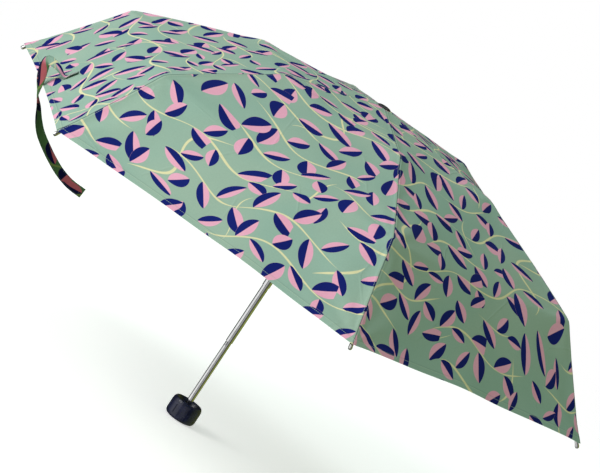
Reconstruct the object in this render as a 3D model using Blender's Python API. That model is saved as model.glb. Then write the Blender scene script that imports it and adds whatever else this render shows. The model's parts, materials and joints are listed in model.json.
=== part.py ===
"""Folding umbrella with three-fold ribs and a telescoping shaft, open and upright.

Metres, +Z up. The origin is the centre of the flat bottom face of the handle and
the shaft runs up +Z to the crown. Lengths below are in millimetres and are scaled
by MM as each mesh is written. A rib plane holds (radius from the shaft, height).
"""

import math

import bmesh
import bpy
import numpy as np
from mathutils import Matrix

for old in list(bpy.data.objects):
    bpy.data.objects.remove(old, do_unlink=True)

MM = 0.001
GAP = 0.3                      # clearance between pieces that touch

# Ribs: six rib planes, the first one pointing along -X
RIB_COUNT = 6
RIB_STEP = math.radians(60.0)
FIRST_RIB = math.radians(180.0)

# Handle
HANDLE_RADIUS = 21.0
HANDLE_HEIGHT = 26.0
HANDLE_BORE_FLOOR = 8.0
HANDLE_SEGMENTS = 48
GRIP_SLOT = (1.0, 1.6, 6.5, 7.5)   # depth, half width, above the base, below the top
CUP_FLOOR = 13.5
CUP_RIM_RADIUS = 17.2
COLLAR_HEIGHT = 4.5
COLLAR_WALL = 1.9
CUP_HUB_RADIUS = 6.9

# Shaft: four tubes, each sliding over the one below
TUBE_WALL = 0.4
TUBE_GAP = 0.25
TUBE_RADIUS = (4.2, 4.85, 5.5, 6.15)
TUBE_BOTTOM = (8.3, 120.0, 206.5, 293.0)
TUBE_TOP = (150.0, 235.0, 316.0, 482.5)
CATCH_AZIMUTHS = tuple(math.radians(a) for a in (255.0, 75.0, 345.0, 255.0))
CATCH_HEIGHT = 5.2
CATCH_HALF_WIDTH = 0.75
CATCH_REACH = 0.62
CATCH_DEPTH = 0.9
CATCH_DROP = 0.5               # catch top below the tube that rests on it

# Crown and runner
CROWN_HEIGHT = 477.0           # height of the top rib pivots
CROWN_PIVOT = 10.0             # radius of the top rib pivots
RUNNER_PIVOT = 10.5            # radius of the stretcher pivots
NOTCH_RADIUS = 13.0
HUB_WALL = 1.6
RING_WIRE = 0.55
RING_GROOVE = 0.95
NOTCH_BACK = 3.8
NOTCH_WEB = 1.2
NOTCH_FRONT = 3.4
SLEEVE_LENGTH = 14.0
SLEEVE_NECK = 5.0
CAP_BOTTOM = 5.0               # above the crown pivots
CAP_TOP = 7.8
CAP_RADIUS = 9.2

# Rib segments when open: length and angle from the horizontal
TOP_LENGTH, TOP_ANGLE = 171.0, math.radians(-6.0)
MID_LENGTH, MID_ANGLE = 180.0, math.radians(-20.9)
OUTER_LENGTH, OUTER_ANGLE = 152.0, math.radians(-50.3)
TIP_LENGTH = 12.0
TOP_BOW, MID_BOW = 2.5, 1.5
RIB_HALF_HEIGHT = 1.5
RIB_HALF_WIDTH = 1.5
CHANNEL_WALL = 0.5
INNER_KNUCKLE = 2.2            # inner knuckle pivot above the rib centre lines
OUTER_KNUCKLE = 2.2            # outer knuckle pivot below them
CHEEK_IN, CHEEK_OUT = 1.9, 2.7
EYE_RADIUS = 1.75
PIN_RADIUS = 0.55
HOLE_RADIUS = 0.9
OUTER_HALF = 1.0
TAIL_LENGTH, TAIL_DROP = 10.0, 4.0
ROD_RADIUS = 0.6
ROD_SIDE = 3.7

# Stretcher
STRETCHER_LENGTH = 90.0
STRETCHER_REACH = 80.0         # along the top rib, from the crown pivot
STRETCHER_RISE = 2.0
STRETCHER_HALF = 1.4
STEM_HALF_WIDTH = 1.0
FORK_START, FORK_END = 34.0, 44.0
ROD_BACK = 11.9                # tie rod eye, back from the fork end

# Canopy
CLOTH = 0.5
CLOTH_CLEAR = 0.5
CHEEK_SHOULDER = 0.9           # more room over the wide middle ribs
CANOPY_HOLE = 7.8
SEAM_HALF = 0.2
HEM_SCALLOP = 0.008
TENSION_WINDOW = 75.0
TENSION_SHARE = 0.8
ACROSS = 6
STRAP_WIDTH = 13.0
STRAP_THICK = 1.0
STRAP_SEAT = ((50.0, 12.0), (41.0, 11.0), (33.0, 10.0))   # back from the hem, aside
STRAP_SWAY = math.radians(14.1)
STRAP_STAND_OFF = 4.0
STRAP_LINE = (                   # from the last sewn point: along the sway, and up
    (-13.0, 4.5), (-22.5, 6.3), (-29.5, 5.6), (-30.0, 0.0), (-28.0, -9.0),
    (-23.5, -22.3), (-17.0, -37.7), (-7.5, -51.3), (0.6, -63.7), (11.3, -76.0),
    (26.2, -87.0), (41.4, -96.3), (58.2, -104.5), (76.9, -110.0), (97.4, -111.5),
)

SEGMENTS = 32


# ---------------------------------------------------------------- mesh helpers
def material(name, colour, metallic, roughness):
    made = bpy.data.materials.new(name)
    made.use_nodes = True
    shader = made.node_tree.nodes["Principled BSDF"]
    shader.inputs["Base Color"].default_value = (*colour, 1.0)
    shader.inputs["Metallic"].default_value = metallic
    shader.inputs["Roughness"].default_value = roughness
    return made


def new_object(name, mesh, matrix=None):
    made = bpy.data.objects.new(name, mesh)
    bpy.context.scene.collection.objects.link(made)
    if matrix is not None:
        made.matrix_world = matrix
    return made


def mesh_from(points, faces, name="solid"):
    """A mesh from points in millimetres, with its faces turned outwards."""
    mesh = bpy.data.meshes.new(name)
    mesh.from_pydata([[c * MM for c in p] for p in points], [], faces)
    work = bmesh.new()
    work.from_mesh(mesh)
    bmesh.ops.recalc_face_normals(work, faces=work.faces)
    work.to_mesh(mesh)
    work.free()
    return mesh


def prism(outline, side_0, side_1):
    """The (x, z) outline pushed along y from side_0 to side_1."""
    count = len(outline)
    points = [(x, side_0, z) for x, z in outline] + [(x, side_1, z) for x, z in outline]
    faces = [tuple(range(count)), tuple(reversed(range(count, 2 * count)))]
    for i in range(count):
        j = (i + 1) % count
        faces.append((i, i + count, j + count, j))
    return mesh_from(points, faces)


def circle(cx, cz, radius, segments=12):
    turn = 2 * math.pi / segments
    return [
        (cx + radius * math.cos(i * turn), cz + radius * math.sin(i * turn))
        for i in range(segments)
    ]


def block(x0, x1, y0, y1, z0, z1):
    return prism([(x0, z0), (x1, z0), (x1, z1), (x0, z1)], y0, y1)


def turned(profile, segments=SEGMENTS, closed=True):
    """A (radius, z) outline turned about Z; points on the axis become poles."""
    points, rows = [], []
    for radius, z in profile:
        if radius < 1e-6:
            rows.append([len(points)])
            points.append((0.0, 0.0, z))
            continue
        rows.append(list(range(len(points), len(points) + segments)))
        for i in range(segments):
            a = 2 * math.pi * i / segments
            points.append((radius * math.cos(a), radius * math.sin(a), z))
    faces = []
    pairs = list(zip(rows, rows[1:]))
    if closed and len(rows[0]) > 1 and len(rows[-1]) > 1:
        pairs.append((rows[-1], rows[0]))
    for a, b in pairs:
        if len(a) == 1 and len(b) == 1:
            continue
        for i in range(segments):
            j = (i + 1) % segments
            if len(a) == 1:
                faces.append((a[0], b[i], b[j]))
            elif len(b) == 1:
                faces.append((a[i], b[0], a[j]))
            else:
                faces.append((a[i], b[i], b[j], a[j]))
    return mesh_from(points, faces)


def combined(base, parts, operation):
    """base joined with, or cut by, each mesh in parts."""
    target = new_object("work_target", base)
    helpers = []
    for part in parts:
        helper = new_object("work_helper", part)
        helpers.append(helper)
        step = target.modifiers.new("step", "BOOLEAN")
        step.operation = operation
        step.solver = "EXACT"
        step.object = helper
    bpy.context.view_layer.update()
    graph = bpy.context.evaluated_depsgraph_get()
    result = bpy.data.meshes.new_from_object(target.evaluated_get(graph))
    for used in [target] + helpers:
        bpy.data.objects.remove(used, do_unlink=True)
    return result


def finish(name, mesh, look, matrix=None, smooth=True):
    made = new_object(name, mesh, matrix)
    mesh.name = name
    mesh.materials.clear()
    mesh.materials.append(look)
    if smooth:
        mesh.shade_smooth()
        mesh.set_sharp_from_angle(angle=math.radians(35.0))
    return made


def rib_azimuth(index):
    return FIRST_RIB + index * RIB_STEP


def rib_frame(index, pivot, angle=0.0):
    """Local x runs outwards and is raised by angle; local y is across the rib."""
    place = Matrix.Translation((pivot[0] * MM, 0.0, pivot[1] * MM))
    return (
        Matrix.Rotation(rib_azimuth(index), 4, "Z")
        @ place
        @ Matrix.Rotation(-angle, 4, "Y")
    )


def moved(origin, angle, along, above):
    """The point this far along and above an origin in the rib plane."""
    c, s = math.cos(angle), math.sin(angle)
    return (origin[0] + along * c - above * s, origin[1] + along * s + above * c)


def bow(share, height):
    return 4.0 * height * share * (1.0 - share)


# ------------------------------------------------------------- pivots when open
CROWN_POINT = (CROWN_PIVOT, CROWN_HEIGHT)
INNER_POINT = moved(CROWN_POINT, TOP_ANGLE, TOP_LENGTH, INNER_KNUCKLE)
OUTER_POINT = moved(INNER_POINT, MID_ANGLE, MID_LENGTH, -INNER_KNUCKLE - OUTER_KNUCKLE)
TIP_POINT = moved(OUTER_POINT, OUTER_ANGLE, OUTER_LENGTH, OUTER_KNUCKLE)
FORK_POINT = moved(CROWN_POINT, TOP_ANGLE, STRETCHER_REACH, STRETCHER_RISE)
RUNNER_HEIGHT = FORK_POINT[1] - math.sqrt(
    STRETCHER_LENGTH**2 - (FORK_POINT[0] - RUNNER_PIVOT) ** 2
)
RUNNER_POINT = (RUNNER_PIVOT, RUNNER_HEIGHT)
STRETCHER_ANGLE = math.atan2(
    FORK_POINT[1] - RUNNER_POINT[1], FORK_POINT[0] - RUNNER_POINT[0]
)
ROD_POINT = moved(INNER_POINT, MID_ANGLE, -TAIL_LENGTH, -TAIL_DROP - INNER_KNUCKLE)
ROD_FAR_POINT = moved(RUNNER_POINT, STRETCHER_ANGLE, STRETCHER_LENGTH - ROD_BACK, 0.0)
ROD_LENGTH = math.dist(ROD_POINT, ROD_FAR_POINT)
ROD_ANGLE = math.atan2(
    ROD_FAR_POINT[1] - ROD_POINT[1], ROD_FAR_POINT[0] - ROD_POINT[0]
)


# ------------------------------------------------------------------- materials
CLOTH_LOOK = material("canopy_cloth", (0.27, 0.42, 0.33), 0.0, 0.85)
STRAP_LOOK = material("strap_cloth", (0.13, 0.22, 0.19), 0.0, 0.9)
CHROME_LOOK = material("chromed_tube", (0.83, 0.84, 0.86), 1.0, 0.12)
STEEL_LOOK = material("rib_steel", (0.62, 0.63, 0.65), 1.0, 0.3)
WIRE_LOOK = material("wire_steel", (0.7, 0.7, 0.72), 1.0, 0.25)
BLACK_LOOK = material("black_plastic", (0.02, 0.02, 0.025), 0.0, 0.35)
HANDLE_LOOK = material("navy_plastic", (0.01, 0.013, 0.05), 0.0, 0.2)
TIP_LOOK = material("tip_metal", (0.75, 0.75, 0.76), 1.0, 0.22)


# ---------------------------------------------------------------------- handle
def make_handle():
    radius, height = HANDLE_RADIUS, HANDLE_HEIGHT
    bore = TUBE_RADIUS[0] + GAP
    profile = [
        (0.0, 0.0),
        (radius - 4.5, 0.0),
        (radius - 2.2, 0.9),
        (radius - 0.7, 2.8),
        (radius, 5.6),
        (radius, height - 7.0),
        (radius - 0.5, height - 3.2),
        (radius - 1.6, height - 1.0),
        (radius - 2.7, height),
        (CUP_RIM_RADIUS, height - 0.4),
        (CUP_RIM_RADIUS - 1.4, height - 2.6),
        (CUP_RIM_RADIUS - 3.4, height - 6.6),
        (CUP_RIM_RADIUS - 6.0, CUP_FLOOR + 2.2),
        (CUP_RIM_RADIUS - 8.6, CUP_FLOOR + 0.3),
        (CUP_HUB_RADIUS, CUP_FLOOR),
        (bore, CUP_FLOOR),
        (bore, HANDLE_BORE_FLOOR),
        (0.0, HANDLE_BORE_FLOOR),
    ]
    body = turned(profile, HANDLE_SEGMENTS)
    depth, half, low, below = GRIP_SLOT
    slot = block(radius - depth, radius + depth, -half, half, low, height - below)
    slot.transform(Matrix.Rotation(CATCH_AZIMUTHS[0], 4, "Z"))
    finish("handle", combined(body, [slot], "DIFFERENCE"), HANDLE_LOOK)
    inner = TUBE_RADIUS[0] + GAP
    low = CUP_FLOOR + GAP
    collar = turned(
        [
            (inner, low),
            (inner + COLLAR_WALL, low),
            (inner + COLLAR_WALL, low + 0.6 * COLLAR_HEIGHT),
            (inner + 0.5 * COLLAR_WALL, low + COLLAR_HEIGHT),
            (inner, low + COLLAR_HEIGHT),
        ]
    )
    finish("handle_collar", collar, TIP_LOOK)


# ----------------------------------------------------------------------- shaft
def make_catch(name, tube_radius, top, azimuth):
    """A small wedge in its slot: flat on top, sloping back into the tube."""
    inner = tube_radius - TUBE_WALL - CATCH_DEPTH
    tip = tube_radius + CATCH_REACH
    flush = tube_radius - 0.1
    low = top - CATCH_HEIGHT
    outline = [
        (inner, low),
        (flush, low),
        (tip, top - 1.4),
        (tip, top),
        (inner, top),
    ]
    wedge = prism(
        [(x - tube_radius, z - top) for x, z in outline],
        -CATCH_HALF_WIDTH,
        CATCH_HALF_WIDTH,
    )
    place = Matrix.Rotation(azimuth, 4, "Z") @ Matrix.Translation(
        (tube_radius * MM, 0.0, top * MM)
    )
    finish(name, wedge, STEEL_LOOK, place)


def make_shaft():
    rests = TUBE_BOTTOM[1:] + (RUNNER_HEIGHT - SLEEVE_LENGTH,)
    for i, radius in enumerate(TUBE_RADIUS):
        low, high = TUBE_BOTTOM[i], TUBE_TOP[i]
        inner = radius - TUBE_WALL
        tube = turned(
            [(inner, low), (radius, low), (radius, high), (inner, high)], SEGMENTS
        )
        top = rests[i] - CATCH_DROP
        half = CATCH_HALF_WIDTH + GAP
        slot = block(
            inner - 1.0, radius + 1.0, -half, half, top - CATCH_HEIGHT - GAP, top + GAP
        )
        slot.transform(Matrix.Rotation(CATCH_AZIMUTHS[i], 4, "Z"))
        place = Matrix.Translation((0.0, 0.0, low * MM))
        mesh = combined(tube, [slot], "DIFFERENCE")
        mesh.transform(place.inverted())
        finish(f"tube_{i + 1}", mesh, CHROME_LOOK, place)
        name = "runner_catch" if i == 3 else f"tube_catch_{i + 1}"
        make_catch(name, radius, top, CATCH_AZIMUTHS[i])


# -------------------------------------------------------------- crown and runner
def notch_mesh(pivot_radius, slot_half, facing):
    """A slotted disc about z = 0. facing is -1 when its slots open downwards."""
    bore = TUBE_RADIUS[3] + GAP
    hub = bore + HUB_WALL
    back, front = -facing * NOTCH_BACK, facing * NOTCH_FRONT
    edge = 0.5 * facing
    body = turned(
        [
            (bore, back),
            (NOTCH_RADIUS - 0.6, back),
            (NOTCH_RADIUS, back + edge),
            (NOTCH_RADIUS, front),
            (bore, front),
        ],
        48,
    )
    cuts = []
    floor = -facing * (NOTCH_BACK - NOTCH_WEB)
    reach = facing * (NOTCH_FRONT + 1.0)
    low, high = min(floor, reach), max(floor, reach)
    for i in range(RIB_COUNT):
        slot = block(hub, NOTCH_RADIUS + 2.0, -slot_half, slot_half, low, high)
        slot.transform(Matrix.Rotation(rib_azimuth(i), 4, "Z"))
        cuts.append(slot)
    groove_floor = -facing * RING_GROOVE
    low, high = min(groove_floor, reach), max(groove_floor, reach)
    groove = turned(
        [
            (pivot_radius - RING_GROOVE, low),
            (pivot_radius + RING_GROOVE, low),
            (pivot_radius + RING_GROOVE, high),
            (pivot_radius - RING_GROOVE, high),
        ],
        48,
    )
    cuts.append(groove)
    return combined(body, cuts, "DIFFERENCE")


def ring_mesh(radius):
    return turned([(radius + x, z) for x, z in circle(0.0, 0.0, RING_WIRE, 8)], 36)


def make_crown_and_runner():
    at_crown = Matrix.Translation((0.0, 0.0, CROWN_HEIGHT * MM))
    crown = notch_mesh(CROWN_PIVOT, RIB_HALF_WIDTH + GAP, -1)
    finish("crown", crown, BLACK_LOOK, at_crown)
    finish("crown_ring", ring_mesh(CROWN_PIVOT), WIRE_LOOK, at_crown)
    bore = TUBE_RADIUS[3] + GAP
    cap = turned(
        [
            (bore, CAP_BOTTOM),
            (CAP_RADIUS - 0.3, CAP_BOTTOM),
            (CAP_RADIUS, CAP_BOTTOM + 0.5),
            (CAP_RADIUS - 0.3, CAP_BOTTOM + 1.1),
            (CAP_RADIUS - 1.5, CAP_BOTTOM + 1.8),
            (CAP_RADIUS - 4.0, CAP_TOP - 0.4),
            (CAP_RADIUS - 7.0, CAP_TOP - 0.05),
            (0.0, CAP_TOP),
            (0.0, TUBE_TOP[3] - CROWN_HEIGHT + GAP),
            (bore, TUBE_TOP[3] - CROWN_HEIGHT + GAP),
        ],
        40,
    )
    finish("ferrule_cap", cap, BLACK_LOOK, at_crown)
    at_runner = Matrix.Translation((0.0, 0.0, RUNNER_HEIGHT * MM))
    collar = notch_mesh(RUNNER_PIVOT, STEM_HALF_WIDTH + GAP, 1)
    wall = bore + HUB_WALL
    sleeve = turned(
        [
            (bore, -SLEEVE_LENGTH),
            (wall + 0.6, -SLEEVE_LENGTH),
            (wall + 1.2, -SLEEVE_LENGTH + 1.0),
            (wall + 1.2, -SLEEVE_LENGTH + 2.6),
            (wall, -SLEEVE_LENGTH + 3.8),
            (wall, SLEEVE_NECK),
            (bore, SLEEVE_NECK),
        ],
        48,
    )
    finish("runner", combined(collar, [sleeve], "UNION"), BLACK_LOOK, at_runner)
    finish("runner_ring", ring_mesh(RUNNER_PIVOT), WIRE_LOOK, at_runner)


# ------------------------------------------------------------------------ ribs
def bar_outline(start, end, length, height, half, level, steps=8):
    """A bowed bar outline between two stations, centred on the given level."""
    stations = [start + (end - start) * i / steps for i in range(steps + 1)]
    upper = [(x, level + bow(x / length, height) + half) for x in stations]
    lower = [(x, level + bow(x / length, height) - half) for x in stations]
    return upper + lower[::-1]


def top_rib_mesh():
    half, wide = RIB_HALF_HEIGHT, RIB_HALF_WIDTH
    bar = prism(
        bar_outline(0.0, TOP_LENGTH - 0.4, TOP_LENGTH, TOP_BOW, half, 0.0, 6), -wide, wide
    )
    near = prism(circle(0.0, 0.0, half + 0.3), -wide, wide)
    far = prism(circle(TOP_LENGTH, INNER_KNUCKLE, EYE_RADIUS), -wide, wide)
    lift = prism(
        [
            (TOP_LENGTH - 5.0, 0.0),
            (TOP_LENGTH - 0.6, -half + 0.2),
            (TOP_LENGTH + EYE_RADIUS - 0.05, INNER_KNUCKLE),
            (TOP_LENGTH, INNER_KNUCKLE + EYE_RADIUS - 0.05),
            (TOP_LENGTH - 5.0, half + 0.1),
        ],
        -wide,
        wide,
    )
    body = combined(bar, [near, far, lift], "UNION")
    start, end = 9.0, TOP_LENGTH - 10.0
    upper = bar_outline(
        start, end, TOP_LENGTH, TOP_BOW, half, -CHANNEL_WALL
    )[:9]
    channel = upper + [(end, -half - 2.0), (start, -half - 2.0)]
    inside = wide - CHANNEL_WALL
    cuts = [
        prism(channel, -inside, inside),
        prism(circle(0.0, 0.0, HOLE_RADIUS, 12), -wide - 1.0, wide + 1.0),
        prism(
            circle(TOP_LENGTH, INNER_KNUCKLE, HOLE_RADIUS, 12), -wide - 1.0, wide + 1.0
        ),
    ]
    return combined(body, cuts, "DIFFERENCE")


def mid_rib_mesh():
    half, level = RIB_HALF_HEIGHT, -INNER_KNUCKLE
    end_drop = -INNER_KNUCKLE - OUTER_KNUCKLE
    line = bar_outline(3.4, MID_LENGTH - 5.0, MID_LENGTH, MID_BOW, half, level)
    web_low = bar_outline(
        3.4, MID_LENGTH - 5.0, MID_LENGTH, MID_BOW, half, level - CHANNEL_WALL
    )
    web = prism(line[:9] + web_low[:9][::-1], -CHEEK_OUT, CHEEK_OUT)
    parts = []
    inner_arm = [
        (-TAIL_LENGTH - 1.3, level - TAIL_DROP - 0.9),
        (-TAIL_LENGTH + 0.6, level - TAIL_DROP - 1.4),
        (-2.0, level - half),
        (6.0, level - half + 0.1),
        (6.0, level + half - 0.1),
        (1.6, EYE_RADIUS - 1.0),
        (0.6, EYE_RADIUS - 0.1),
        (-0.9, EYE_RADIUS - 0.3),
        (-1.7, 0.2),
        (-TAIL_LENGTH - 1.1, level - TAIL_DROP + 1.1),
    ]
    outer_arm = [
        (MID_LENGTH - 7.0, level - half + 0.1),
        (MID_LENGTH - 1.2, end_drop - 1.3),
        (MID_LENGTH + 0.6, end_drop - EYE_RADIUS + 0.1),
        (MID_LENGTH + EYE_RADIUS - 0.1, end_drop - 0.4),
        (MID_LENGTH + EYE_RADIUS - 0.4, end_drop + 1.2),
        (MID_LENGTH - 3.0, level + half - 0.3),
        (MID_LENGTH - 7.0, level + half - 0.1),
    ]
    for side in (-1, 1):
        y0, y1 = sorted((side * CHEEK_IN, side * CHEEK_OUT))
        parts.append(prism(line, y0, y1))
        parts.append(prism(inner_arm, y0, y1))
        parts.append(prism(outer_arm, y0, y1))
    pins = ((0.0, 0.0), (MID_LENGTH, end_drop))
    for x, z in pins:
        parts.append(prism(circle(x, z, PIN_RADIUS, 10), -CHEEK_IN - 0.3, CHEEK_IN + 0.3))
    stub = circle(-TAIL_LENGTH, level - TAIL_DROP, PIN_RADIUS, 10)
    parts.append(prism(stub, CHEEK_IN + 0.3, ROD_SIDE + 0.7))
    return combined(web, parts, "UNION")


def outer_rib_mesh():
    wide, level = OUTER_HALF, OUTER_KNUCKLE
    root = prism(
        [
            (-0.5, -EYE_RADIUS + 0.1),
            (1.0, -EYE_RADIUS + 0.3),
            (2.2, 0.0),
            (9.0, level - wide),
            (9.0, level + wide),
            (-0.6, level + 0.9),
            (-1.7, level - 0.9),
            (-EYE_RADIUS + 0.1, 0.0),
        ],
        -RIB_HALF_WIDTH,
        RIB_HALF_WIDTH,
    )
    bar = prism(
        [
            (5.0, level - wide),
            (OUTER_LENGTH + 4.0, level - wide + 0.3),
            (OUTER_LENGTH + 4.0, level + wide - 0.3),
            (5.0, level + wide),
        ],
        -wide,
        wide,
    )
    hole = prism(circle(0.0, 0.0, HOLE_RADIUS, 12), -3.0, 3.0)
    return combined(combined(root, [bar], "UNION"), [hole], "DIFFERENCE")


def tip_mesh():
    """A little cap with a blind bore over the end of the outer rib."""
    bore = OUTER_HALF * math.sqrt(2.0) + GAP
    profile = [
        (bore, -4.0),
        (bore + 0.7, -4.0),
        (bore + 0.9, 3.0),
        (bore + 1.0, TIP_LENGTH - 7.0),
        (bore + 0.4, TIP_LENGTH - 5.0),
        (0.0, TIP_LENGTH - 4.2),
        (0.0, 4.0 + GAP),
        (bore, 4.0 + GAP),
    ]
    mesh = turned(profile, 16)
    mesh.transform(Matrix.Rotation(math.radians(90.0), 4, "Y"))
    return mesh


def stretcher_mesh():
    half = STRETCHER_HALF
    length = STRETCHER_LENGTH
    arm = [(FORK_END - 1.0, -half), (length, -half), (length, half), (FORK_END - 1.0, half)]
    stem = block(0.0, FORK_START, -STEM_HALF_WIDTH, STEM_HALF_WIDTH, -half, half)
    parts = [prism(circle(0.0, 0.0, half + 0.3), -STEM_HALF_WIDTH, STEM_HALF_WIDTH)]
    yoke = [
        (FORK_START - 1.0, -STEM_HALF_WIDTH),
        (FORK_END, -CHEEK_OUT),
        (FORK_END, CHEEK_OUT),
        (FORK_START - 1.0, STEM_HALF_WIDTH),
    ]
    points = [(x, y, -half) for x, y in yoke] + [(x, y, half) for x, y in yoke]
    faces = [(0, 1, 2, 3), (7, 6, 5, 4)]
    faces += [(i, i + 4, (i + 1) % 4 + 4, (i + 1) % 4) for i in range(4)]
    parts.append(mesh_from(points, faces))
    for sign in (-1, 1):
        y0, y1 = sorted((sign * CHEEK_IN, sign * CHEEK_OUT))
        parts.append(prism(arm, y0, y1))
        parts.append(prism(circle(length, 0.0, half + 0.4), y0, y1))
    body = combined(stem, parts, "UNION")
    cuts = [
        prism(circle(0.0, 0.0, HOLE_RADIUS, 12), -3.0, 3.0),
        prism(circle(length, 0.0, HOLE_RADIUS, 12), -5.0, 5.0),
    ]
    return combined(body, cuts, "DIFFERENCE")


def tie_rod_mesh():
    """A straight wire beside the rib with a flat eye at each end."""
    rod = turned([(0.0, 1.2), (ROD_RADIUS, 1.2), (ROD_RADIUS, ROD_LENGTH - 1.2),
                  (0.0, ROD_LENGTH - 1.2)], 10)
    rod.transform(
        Matrix.Translation((0.0, ROD_SIDE * MM, 0.0))
        @ Matrix.Rotation(math.radians(90.0), 4, "Y")
    )
    eyes, holes = [], []
    for x in (0.0, ROD_LENGTH):
        eyes.append(prism(circle(x, 0.0, EYE_RADIUS, 14), ROD_SIDE - 0.55, ROD_SIDE + 0.55))
        holes.append(prism(circle(x, 0.0, HOLE_RADIUS, 10), ROD_SIDE - 2.0, ROD_SIDE + 2.0))
    return combined(combined(rod, eyes, "UNION"), holes, "DIFFERENCE")


def make_ribs():
    shapes = (
        ("top_rib", top_rib_mesh(), CROWN_POINT, TOP_ANGLE, STEEL_LOOK),
        ("mid_rib", mid_rib_mesh(), INNER_POINT, MID_ANGLE, STEEL_LOOK),
        ("outer_rib", outer_rib_mesh(), OUTER_POINT, OUTER_ANGLE, STEEL_LOOK),
        ("rib_tip", tip_mesh(), TIP_POINT, OUTER_ANGLE, TIP_LOOK),
        ("stretcher", stretcher_mesh(), RUNNER_POINT, STRETCHER_ANGLE, STEEL_LOOK),
        ("tie_rod", tie_rod_mesh(), ROD_POINT, ROD_ANGLE, WIRE_LOOK),
    )
    for stem, mesh, pivot, angle, look in shapes:
        for i in range(RIB_COUNT):
            name = f"{stem}_{i + 1}"
            finish(name, mesh.copy(), look, rib_frame(i, pivot, angle))


# ---------------------------------------------------------------------- canopy
def ridge_line():
    """(radius, height) of the cloth over a rib, from the crown hole to the tip."""
    flat = CROWN_HEIGHT + NOTCH_BACK + GAP
    line = [(CANOPY_HOLE, flat), (NOTCH_RADIUS + 0.8, flat)]
    knuckle = INNER_KNUCKLE + EYE_RADIUS - RIB_HALF_HEIGHT
    clear = RIB_HALF_HEIGHT + CLOTH_CLEAR
    for along in (30.0, 50.0, 85.0, 120.0, 148.0, 165.0):
        rise = knuckle * max(0.0, (along - 140.0) / (TOP_LENGTH - 146.0))
        rise += 1.4 * max(0.0, 1.0 - along / 50.0)
        above = bow(along / TOP_LENGTH, TOP_BOW) + clear + rise
        line.append(moved(CROWN_POINT, TOP_ANGLE, along, above))
    mid_angle = 0.5 * (TOP_ANGLE + MID_ANGLE)
    line.append(moved(INNER_POINT, mid_angle, 0.0, EYE_RADIUS + CLOTH_CLEAR + 0.5))
    clear += CHEEK_SHOULDER
    for along in (8.0, 30.0, 65.0, 105.0, 145.0, 172.0):
        rise = knuckle * max(0.0, 1.0 - along / 30.0)
        above = bow(along / MID_LENGTH, MID_BOW) - INNER_KNUCKLE + clear + rise
        line.append(moved(INNER_POINT, MID_ANGLE, along, above))
    turn_angle = 0.5 * (MID_ANGLE + OUTER_ANGLE)
    line.append(moved(OUTER_POINT, turn_angle, 2.0, OUTER_KNUCKLE + clear + 0.4))
    for along in (12.0, 50.0, 90.0, 125.0, OUTER_LENGTH + 2.0):
        ease = CHEEK_SHOULDER * min(1.0, max(0.0, (along - 12.0) / 38.0))
        tip_rise = 1.9 * max(0.0, (along - 125.0) / (OUTER_LENGTH + 2.0 - 125.0))
        above = OUTER_KNUCKLE + clear - ease + tip_rise
        line.append(moved(OUTER_POINT, OUTER_ANGLE, along, above))
    return np.array(line)


def canopy_profiles():
    """The ridge by arc length, and the same line eased as the taut cloth eases it."""
    line = ridge_line()
    steps = np.hypot(*np.diff(line, axis=0).T)
    arc = np.concatenate([[0.0], np.cumsum(steps)])
    fine = np.linspace(0.0, arc[-1], 240)
    ridge = np.column_stack([np.interp(fine, arc, line[:, i]) for i in (0, 1)])
    eased = []
    for a in fine:
        reach = min(TENSION_WINDOW, a, arc[-1] - a)
        near = np.linspace(a - reach, a + reach, 15)
        eased.append([np.interp(near, arc, line[:, i]).mean() for i in (0, 1)])
    return fine, ridge, np.array(eased), arc


def panel_points(index, profiles, rise):
    """Rows of points across one panel, lifted by rise along the cloth's normal."""
    fine, ridge, eased, stops = profiles
    middle = rib_azimuth(index) + 0.5 * RIB_STEP
    half = 0.5 * RIB_STEP
    grid = np.zeros((len(stops), ACROSS + 1, 3))
    for r, a in enumerate(stops):
        for c in range(ACROSS + 1):
            u = 2.0 * c / ACROSS - 1.0
            shape = 1.0 - u * u
            at = a * (1.0 - HEM_SCALLOP * shape)
            share = TENSION_SHARE * shape
            both = [
                (1.0 - share) * np.interp(at, fine, ridge[:, i])
                + share * np.interp(at, fine, eased[:, i])
                for i in (0, 1)
            ]
            out, side = both[0] * math.cos(half), both[0] * math.sin(half) * u
            side *= max(0.0, 1.0 - SEAM_HALF / max(both[0] * math.sin(half), 1.0))
            grid[r, c] = (out, side, both[1])
    down = np.gradient(grid, axis=0)
    over = np.gradient(grid, axis=1)
    normal = np.cross(over, down)
    normal /= np.linalg.norm(normal, axis=2, keepdims=True)
    normal *= np.sign(normal[..., 2:3])
    grid += normal * rise
    c, s = math.cos(middle), math.sin(middle)
    return np.stack(
        [
            grid[..., 0] * c - grid[..., 1] * s,
            grid[..., 0] * s + grid[..., 1] * c,
            grid[..., 2],
        ],
        axis=-1,
    )


def panel_mesh(index, profiles):
    low = panel_points(index, profiles, 0.0)
    high = panel_points(index, profiles, CLOTH)
    rows, columns = low.shape[:2]
    points = np.concatenate([low.reshape(-1, 3), high.reshape(-1, 3)]).tolist()
    layer = rows * columns
    faces = []
    for r in range(rows - 1):
        for c in range(columns - 1):
            a = r * columns + c
            b, d, e = a + 1, a + columns, a + columns + 1
            faces.append((a, b, e, d))
            faces.append((a + layer, d + layer, e + layer, b + layer))
    edge = [c for c in range(columns)]
    edge += [r * columns + columns - 1 for r in range(1, rows)]
    edge += [(rows - 1) * columns + c for c in range(columns - 2, -1, -1)]
    edge += [r * columns for r in range(rows - 2, 0, -1)]
    for a, b in zip(edge, edge[1:] + edge[:1]):
        faces.append((a, b, b + layer, a + layer))
    return mesh_from(points, faces)


def make_canopy():
    profiles = canopy_profiles()
    for i in range(RIB_COUNT):
        finish(f"canopy_panel_{i + 1}", panel_mesh(i, profiles), CLOTH_LOOK)
    make_strap(profiles)


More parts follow.
